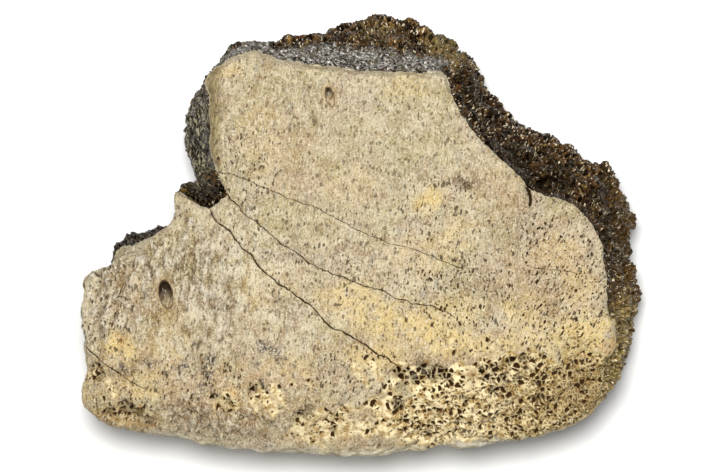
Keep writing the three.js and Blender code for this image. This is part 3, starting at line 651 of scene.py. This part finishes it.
# Cracks of the joint face, which all lie higher than CRACKED_ABOVE: width, depth and line.
CRACKED_ABOVE = 26
CRACKS = [
    (0.12, 0.3, [
        (-28.6, 13.1), (-25, 12.3), (-22.8, 11.6), (-19, 9.8), (-13.6, 7.4), (-5.8, 4.2), (-0.2, 1.2),
        (4.8, -0.8), (9.8, -2.2), (13, -3.4), (16.2, -4.8), (19, -5.8), (24, -6.4),
    ]),
    (0.09, 0.15, [(34.4, -6), (37.6, -6.6), (41, -7), (46.6, -7.4)]),
    (0.19, 0.45, [
        (-26.5, 8.6), (-25.6, 7.4), (-23.8, 6), (-21.8, 3.6), (-19.2, 1.8), (-16.8, -0.4), (-13, -2.9),
        (-9.8, -5.6), (-6.6, -7), (-2.4, -8.4), (2, -10.2), (4.8, -10.8), (7, -12.2), (10.6, -13.6),
        (14.2, -13.8), (16.2, -14.7), (19.4, -16.4),
    ]),
    (0.27, 0.6, [
        (-29.8, 5.8), (-28.6, 3.2), (-25.4, 0.8), (-23.2, -2.6), (-20.4, -5.4), (-18.2, -7.7), (-16, -9.7),
        (-13, -11.4), (-10.2, -13.4), (-7.4, -16.2), (-3.8, -18.8), (-0.2, -20.8), (3, -23), (5.6, -24.2),
        (8, -26),
    ]),
    (0.09, 0.1, [(-35.8, -4.5), (-33.2, -6.6), (-29.2, -10.6)]),
    (0.12, 0.15, [(-48.9, -12.6), (-47.4, -12), (-45.6, -12.8), (-44.2, -14.2)]),
    (0.2, 0.3, [(-54.6, -22.2), (-51, -25.5), (-47, -28), (-43, -30.5)]),
    (0.08, 0.1, [(-25.5, 18.5), (-23.8, 15.5), (-25, 12.8)]),
    (1.1, 1.4, [(34, 9.9), (34.3, 8.6), (34.4, 6.2)]),
]
chance = np.random.default_rng(5)


# Breaks a crack up between its points into a jagged line, which is the same every time.
def jagged(line):
    points = np.array(line, float)
    for spread in (0.05, 0.06, 0.07):
        middles = (points[:-1] + points[1:]) / 2
        runs = points[1:] - points[:-1]
        aside = np.stack([-runs[:, 1], runs[:, 0]], axis=1)
        middles += aside * chance.normal(0, spread, len(middles))[:, None]
        points = np.insert(points, range(1, len(points)), middles, axis=0)
    return [tuple(point) for point in points]


CRACKS = [(width, depth, jagged(line)) for width, depth, line in CRACKS]


# For each crack: the distance from it, half its width and its depth. It narrows towards its end.
def crack_distances():
    shares = []
    for width, depth, line in CRACKS:
        ends = np.minimum(np.hypot(x - line[-1][0], y - line[-1][1]) / 4, 1)
        wide = 0.85 + 0.25 * np.sin(1.9 * x + 0.7 * y) + 0.15 * np.sin(4.3 * x)
        half = width / 2 * (0.5 + 0.5 * ends) * wide
        shares.append((signed_distance_to(line), half, depth * (0.3 + 0.7 * ends)))
    return shares


for corridor in (1.0, 0.5):
    read_places()
    nearest = np.min([np.abs(gap) for gap, half, depth in crack_distances()], axis=0)
    near = (nearest < corridor) & (facing_up > 0.3) & (z > CRACKED_ABOVE)
    bpy.ops.object.mode_set(mode="EDIT")
    bpy.ops.mesh.select_all(action="DESELECT")
    bpy.ops.object.mode_set(mode="OBJECT")
    corners = np.empty(len(mesh.loops), np.int32)
    mesh.loops.foreach_get("vertex_index", corners)
    chosen = near[corners.reshape(-1, 3)].any(axis=1)
    edges = np.empty(len(mesh.loops), np.int32)
    mesh.loops.foreach_get("edge_index", edges)
    chosen_edges = np.zeros(len(mesh.edges), bool)
    chosen_edges[edges.reshape(-1, 3)[chosen].ravel()] = True
    mesh.polygons.foreach_set("select", chosen)
    mesh.edges.foreach_set("select", chosen_edges)
    bpy.ops.object.mode_set(mode="EDIT")
    bpy.ops.mesh.subdivide(number_cuts=1)
    bpy.ops.mesh.select_all(action="SELECT")
    bpy.ops.mesh.quads_convert_to_tris()
    bpy.ops.object.mode_set(mode="OBJECT")
read_places()
# The seam is kept with its sign, so that a thin one isn't lost between two points.
seam = np.full(count, 9.0, np.float32)
seam_half = np.zeros(count, np.float32)
drop = np.zeros(count, np.float32)
for gap, half, depth in crack_distances():
    nearer = np.abs(gap) < np.abs(seam)
    seam = np.where(nearer, gap, seam)
    seam_half = np.where(nearer, half, seam_half)
    drop = np.maximum(drop, depth * np.clip(1.4 - np.abs(gap) / (half + 0.03), 0, 1))
on_face = (facing_up > 0.3) & (z > CRACKED_ABOVE)
keep("seam", np.clip(seam, -0.5, 0.5))
keep("seam_half", seam_half * on_face * soft_step(0.5, 0.35, np.abs(seam)))
z = z - np.where(on_face, drop, 0)
move_heights()
bpy.ops.object.shade_smooth()


# Petrified bone. Compact bone is matt and tan, and spongy bone is dark brown with mineral grains that glint.
# It is a mineral with the pattern of bone, so its IOR is near that of apatite and quartz.
petrified_bone = bpy.data.materials.new("petrified_bone")
petrified_bone.use_nodes = True
bone = petrified_bone.node_tree
bone_shader = bone.nodes["Principled BSDF"]
bone_shader.inputs["IOR"].default_value = 1.55
bone_shader.inputs["Specular Tint"].default_value = linear("#ffdfb0")


def blended(share, low, high):
    return add_node(bone, "ShaderNodeMix", {0: share, 6: low, 7: high}, data_type="RGBA").outputs[2]


def blended_hex(share, low, hex_colour):
    return blended(share, low, linear(hex_colour))


# Soft clouds of one size, nought below the level low and full above the level high.
def clouds(place, size, roughness, low, high, to_low=0, to_high=1):
    return ramp_node(bone, mottle(bone, place, size, 3.0, roughness), low, high, to_low, to_high)


# A share of something, only as strong as a mask is.
def within(mask, share):
    return times(bone, attribute_in(bone, mask), share)


spot = attribute_in(bone, "place", "FLOAT_VECTOR")
fibres_at = attribute_in(bone, "fibres", "FLOAT_VECTOR")
plate_at = attribute_in(bone, "plate")
worn_at = attribute_in(bone, "worn")
lively_at = attribute_in(bone, "lively")


def as_lively(share):
    return times(bone, share, lively_at)


# Compact tan plate: cream, brown, grey and peach mottling of 1 to 8 mm, with painted shade in the dips of its
# folds and painted highlights on their tops.
tan = blended(clouds(spot, 8.0, 0.5, 0.38, 0.62), linear("#aa9c76"), linear("#b5a58b"))
cream_share = ramp_node(bone, mottle(bone, shaken(bone, spot, 4.0, 3.0), 3.0, 3.0, 0.65), 0.42, 0.6, 0, 0.8)
cream_share = times(bone, cream_share, math_node(bone, "MULTIPLY_ADD", lively_at, 0.6, 0.2))
tan = blended_hex(cream_share, tan, "#ccc09f")
tan = blended_hex(as_lively(clouds(spot, 2.3, 0.65, 0.5, 0.66, 0, 0.6)), tan, "#8d7456")
tan = blended_hex(as_lively(clouds(fibres_at, 1.3, 0.65, 0.54, 0.68, 0, 0.6)), tan, "#918d80")
tan = blended_hex(within("pale", clouds(spot, 3.0, 0.6, 0.4, 0.55)), tan, "#cfc5ab")
fold_at = fold(bone, fibres_at)
folded_at = attribute_in(bone, "folded")
# Painted light on the folds: paler where the carved fold rises and browner where it dips, as highlight and
# shade.
tan = blended_hex(times(bone, folded_at, ramp_node(bone, fold_at, -0.1, 1.1, 0, 0.4)), tan, "#c0b9a8")
tan = blended_hex(times(bone, folded_at, ramp_node(bone, fold_at, 0.1, -1.0, 0, 0.4)), tan, "#86704a")
broken_up = clouds(spot, 1.4, 0.65, 0.36, 0.56)
# Painted highlight along the raised crests and painted shade in the sunken valleys of the folds.
tan = blended_hex(times(bone, within("crest", broken_up), 0.85), tan, "#d6cfbe")
tan = blended_hex(within("valley", 0.9), tan, "#5e4828")
wrinkled = math_node(bone, "MULTIPLY_ADD", folded_at, 0.5, 0.12)
wrinkle_share = times(bone, wrinkles(bone, fibres_at, 0.085), wrinkled)
tan = blended_hex(wrinkle_share, tan, "#5a4527")
tan = blended_hex(within("peach", clouds(spot, 3.6, 0.6, 0.35, 0.6, 0.2, 0.75)), tan, "#a88557")
aslant = add_node(bone, "ShaderNodeMapping", {
    "Vector": spot, "Rotation": (0, 0, math.radians(-46)), "Scale": (3, 1, 1.7),
}, vector_type="TEXTURE").outputs[0]
streaked_at = attribute_in(bone, "streaked")
streak = mottle(bone, shaken(bone, aslant, 1.5, 0.8), 0.55, 3.0, 0.65)
tan = blended_hex(times(bone, streaked_at, ramp_node(bone, streak, 0.48, 0.36, 0, 0.65)), tan, "#66512f")
tan = blended_hex(times(bone, streaked_at, ramp_node(bone, streak, 0.53, 0.64, 0, 0.65)), tan, "#d6cfba")
patch_noise = ramp_node(bone, mottle(bone, spot, 2.6, 4.0, 0.65), 0.3, 0.55, 0, 0.9)
tan = blended_hex(within("yellow", patch_noise), tan, "#d3b97c")
tan = blended_hex(within("orange", patch_noise), tan, "#bb8142")
stain_noise = ramp_node(bone, mottle(bone, spot, 1.3, 4.0, 0.65), 0.35, 0.6)
tan = blended_hex(within("stain", stain_noise), tan, "#604a30")
mid_stain = ramp_node(bone, attribute_in(bone, "stain"), 0.55, 0.85)
dark_stain = times(bone, mid_stain, clouds(spot, 0.8, 0.6, 0.44, 0.56))
tan = blended_hex(times(bone, dark_stain, 0.7), tan, "#33230f")
dark_grain = ramp_node(bone, mottle(bone, shaken(bone, spot, 0.8, 0.5), 0.7, 2.0, 0.6), 0.43, 0.52, 0, 0.9)
tan = blended_hex(within("blue", dark_grain), tan, "#33363a")
# Fine wrinkles of 0.2 to 0.5 mm, short dark specks along the fibres, and pits.
grain = mottle(bone, spot, 0.36, 3.0, 0.75)
wrinkle = mottle(bone, shaken(bone, fibres_at, 0.8, 0.5), 0.34, 3.0, 0.7)
grain = math_node(bone, "MULTIPLY_ADD", grain, 0.6, times(bone, wrinkle, 0.4))
tan = blended_hex(ramp_node(bone, grain, 0.49, 0.38, 0, 0.7), tan, "#5c4a30")
tan = blended_hex(ramp_node(bone, grain, 0.52, 0.61, 0, 0.8), tan, "#d6ccb5")
pitted_at = attribute_in(bone, "pitted")
speck_noise = ramp_node(bone, mottle(bone, spot, 2.4), 0.35, 0.55, 0.45, 1.0)
speck_place = shaken(bone, stretched(bone, fibres_at, (1.5, 1, 1)), 0.9, 0.9)
speck_size = bumps(bone, spot, 1.1, -0.14, 0.16)
speck = ramp_node(bone, plus(bone, cells(bone, speck_place, 0.72), speck_size), 0.34, 0.22)
speck_share = times(bone, speck_noise, math_node(bone, "MULTIPLY_ADD", pitted_at, 0.4, 0.6))
tan = blended_hex(times(bone, speck, speck_share), tan, "#2c1e0e")
small_place = shaken(bone, stretched(bone, fibres_at, (2, 1, 1)), 0.6, 0.6)
small_speck = ramp_node(bone, cells(bone, small_place, 0.6), 0.31, 0.2)
small_noise = ramp_node(bone, mottle(bone, spot, 1.5), 0.36, 0.48)
speck_share = times(bone, math_node(bone, "MULTIPLY_ADD", pitted_at, 0.75, 0.2), small_noise)
tan = blended_hex(times(bone, small_speck, speck_share), tan, "#3a2813")
pit_openness = math_node(bone, "MULTIPLY_ADD", pitted_at, 0.32, -0.1)
pit = pores(bone, stretched(bone, fibres_at, (1.8, 1, 1)), 0.85, pit_openness, 0.08, 0.35)
tan = blended_hex(times(bone, pit, 0.85), tan, "#382813")
# The sides are layered, grey and cream, and the strip by the left facet is olive and fibrous.
layers = mottle(bone, stretched(bone, spot, (0.22, 0.22, 1)), 0.6, 3.0, 0.6)
layered = blended(ramp_node(bone, layers, 0.4, 0.62), linear("#8a8268"), linear("#cbc5b2"))
tan = blended(within("side", 0.8), tan, layered)
strand = mottle(bone, fibres_at, 0.5, 3.0, 0.75)
olive = blended(ramp_node(bone, strand, 0.42, 0.6), linear("#4f4328"), linear("#9d8d64"))
tan = blended(within("bevel", 0.85), tan, olive)

# Worn spongy bone, cream walls round brown pores, more olive towards the right.
hollow_at = attribute_in(bone, "hollow")
open_coarse, open_fine = plate_pores(bone, spot, worn_at, hollow_at)
wall_noise = mottle(bone, spot, 1.3, 3.0, 0.6)
wall = blended(ramp_node(bone, wall_noise, 0.36, 0.6), linear("#a98e5c"), linear("#ead9ac"))
across_face = part_of(bone, spot, 0)
wall = blended_hex(ramp_node(bone, across_face, 0.018, 0.046, 0, 0.45), wall, "#a08a50")
wall = blended_hex(within("stain", 0.6), wall, "#6a5236")
wall = blended(ramp_node(bone, worn_at, 0.25, 0.6), tan, wall)
spongy = blended_hex(times(bone, open_fine, 0.8), wall, "#5f4424")
spongy = blended_hex(open_coarse, spongy, "#33200c")
tan = blended(ramp_node(bone, math_node(bone, "MAXIMUM", worn_at, hollow_at), 0.03, 0.15), tan, spongy)
# Painted shade: the largest hollows are darkened almost to black, most in their open pores.
hollow_painted_shade = times(bone, hollow_at, math_node(bone, "MULTIPLY_ADD", open_coarse, 0.45, 0.52))
tan = blended_hex(hollow_painted_shade, tan, "#1c1006")
tan = blended(within("strip", 0.85), tan, layered)
tan = blended_hex(within("strut", 0.3), tan, "#d0c4a1")
down_vessel = mottle(bone, fibres_at, 0.6, 2.0)
vessel_at = attribute_in(bone, "vessel")
vessel_tan = blended(ramp_node(bone, down_vessel, 0.4, 0.62), linear("#7d6746"), linear("#b3a385"))
# Painted shade: the inside of each vessel hole darkens towards its upper end, where its upper wall shades it
# from the lamp.
vessel_tan = blended_hex(ramp_node(bone, attribute_in(bone, "up_vessel"), -0.75, 0.45), vessel_tan, "#2b2118")
tan = blended_hex(within("lip", 0.35), tan, "#a88a5a")
# Painted glints: pale specks in the colour of the inside of the vessel holes, as highlights.
vessel_painted_glint = ramp_node(bone, mottle(bone, spot, 0.5, 2.0), 0.6, 0.64)
vessel_painted_glint = times(bone, vessel_painted_glint, ramp_node(bone, vessel_at, 0.3, 0.6))
vessel_tan = blended_hex(times(bone, vessel_painted_glint, 0.7), vessel_tan, "#b9b2a2")
tan = blended(ramp_node(bone, vessel_at, 0.02, 0.12), tan, vessel_tan)
from_rim = math_node(bone, "ABSOLUTE", math_node(bone, "SUBTRACT", vessel_at, 0.05))
at_rim = ramp_node(bone, from_rim, 0.12, 0.03)
tan = blended_hex(times(bone, at_rim, 0.7), tan, "#473620")

# Broken spongy bone: crystals of 0.25 mm, brown, rust and golden, that glint with the lamp and with painted
# glints, and pores between the walls painted nearly black as shade.
broken_coarse, broken_fine = broken_pores(bone, spot)
crystal = cells(bone, shaken(bone, spot, 0.6, 0.5), 0.25, output="Color")
crystal_parts = add_node(bone, "ShaderNodeSeparateXYZ", {0: crystal})
brown = blended(clouds(spot, 0.9, 0.7, 0.4, 0.62), linear("#130b05"), linear("#75552f"))
brown = blended_hex(ramp_node(bone, crystal_parts.outputs[0], 0.4, 1.0, 0, 0.6), brown, "#1a1009")
brown = blended_hex(clouds(spot, 2.2, 0.6, 0.5, 0.66, 0, 0.6), brown, "#5f3517")
brown = blended_hex(ramp_node(bone, mottle(bone, spot, 1.3, 2.0, 0.6), 0.56, 0.7, 0, 0.8), brown, "#a98a4c")
# Painted shade: the carved pores are coloured nearly black, and so are darker clouds of 2.4 mm that stand for
# deeper cavities.
brown = blended_hex(times(bone, broken_fine, 0.8), brown, "#0f0904")
brown = blended_hex(times(bone, broken_coarse, 0.96), brown, "#050301")
brown = blended_hex(ramp_node(bone, mottle(bone, spot, 2.4, 2.0), 0.54, 0.4, 0, 0.8), brown, "#080503")
brown = blended_hex(ramp_node(bone, across_face, 0.048, 0.054, 0, 0.3), brown, "#8a6a38")
golden_bone = blended(clouds(spot, 0.8, 0.7, 0.36, 0.6), linear("#6b5228"), linear("#bca668"))
# Painted shade in the pores of the golden bone too.
in_pore = math_node(bone, "MAXIMUM", times(bone, broken_coarse, 0.9), times(bone, broken_fine, 0.6))
golden_bone = blended_hex(in_pore, golden_bone, "#1e1408")
brown = blended(within("golden", 0.8), brown, golden_bone)
# Painted shade in the notch's pocket, and darker bone in the other patches.
dark_and_shade_at = attribute_in(bone, "dark")
brown = blended_hex(dark_and_shade_at, brown, "#0a0603")
# Painted glints: the palest crystals are coloured near white as highlights, fewer where the bone is dark and
# shaded.
glint = ramp_node(bone, crystal_parts.outputs[1], 0.93, 0.96, 0, 0.95)
glint = times(bone, glint, ramp_node(bone, dark_and_shade_at, 0.1, 0.8, 1, 0.25))
brown = blended_hex(glint, brown, "#ead9b8")
fine_strand = mottle(bone, stretched(bone, fibres_at, (1.3, 1, 1)), 0.34, 3.0, 0.7)
grey = blended(ramp_node(bone, fine_strand, 0.42, 0.56), linear("#211d18"), linear("#8f8b82"))
grey = blended_hex(ramp_node(bone, mottle(bone, fibres_at, 1.2, 2.0), 0.55, 0.66, 0, 0.8), grey, "#544a2e")
grey = blended_hex(ramp_node(bone, fine_strand, 0.57, 0.63), grey, "#e8e3da")
left_grey = blended(ramp_node(bone, strand, 0.47, 0.62), linear("#17130b"), linear("#a09a7e"))
grey = blended(ramp_node(bone, across_face, -0.023, -0.033), grey, left_grey)
brown = blended(attribute_in(bone, "facet"), brown, grey)

# The plate over the broken bone, light along its edge, and the cracks over both.
edge = ragged_edge(bone, plate_at, spot)
tan = blended_hex(ramp_node(bone, edge, 0.5, 0.1, 0, 0.5), tan, "#c8bb9a")
on_plate = ramp_node(bone, edge, -0.1, 0.1)
colour = blended(on_plate, brown, tan)
seam_half = attribute_in(bone, "seam_half")
into_seam = math_node(bone, "SUBTRACT", seam_half, math_node(bone, "ABSOLUTE", attribute_in(bone, "seam")))
in_seam = times(bone, ramp_node(bone, into_seam, -0.06, 0.03), ramp_node(bone, seam_half, 0.0, 0.03))
colour = blended_hex(in_seam, colour, "#2a1d0f")
bone.links.new(colour, bone_shader.inputs["Base Color"])
crystal_gloss = ramp_node(bone, crystal_parts.outputs[2], 0, 1, 0.14, 0.42)
gloss = between(bone, on_plate, crystal_gloss, 0.7)
# The plate is porous and hardly shines, and neither do the insides of the pores.
shine = math_node(bone, "SUBTRACT", 0.26, times(bone, broken_coarse, 0.23))
shine = times(bone, shine, ramp_node(bone, plate_at, -0.2, -1.4, 0.2, 1))
shine = between(bone, on_plate, shine, 0.12)
bone.links.new(shine, bone_shader.inputs["Specular IOR Level"])
bone.links.new(gloss, bone_shader.inputs["Roughness"])
bump_height = times(bone, mottle(bone, fibres_at, 0.9, 2.0), 0.6)
bump_height = plus(bone, mottle(bone, spot, 0.6, 3.0, 0.7), bump_height)
bump = {"Height": bump_height, "Strength": 1.0, "Distance": 0.0003}
fine_bump = add_node(bone, "ShaderNodeBump", bump).outputs[0]
# Each crystal is a flat face of its own, tilted its own way.
tilt = vector_node(bone, "SUBTRACT", crystal, (0.5, 0.5, 0.5))
tilt_share = math_node(bone, "SUBTRACT", 1.1, times(bone, on_plate, 1.1))
tilt = vector_node(bone, "SCALE", tilt, tilt_share, "Scale")
tilted = vector_node(bone, "ADD", fine_bump, tilt)
tilted = add_node(bone, "ShaderNodeVectorMath", {0: tilted}, operation="NORMALIZE").outputs[0]
bone.links.new(tilted, bone_shader.inputs["Normal"])
fossil.data.materials.append(petrified_bone)
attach(fossil, "root")
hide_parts("vertebra")
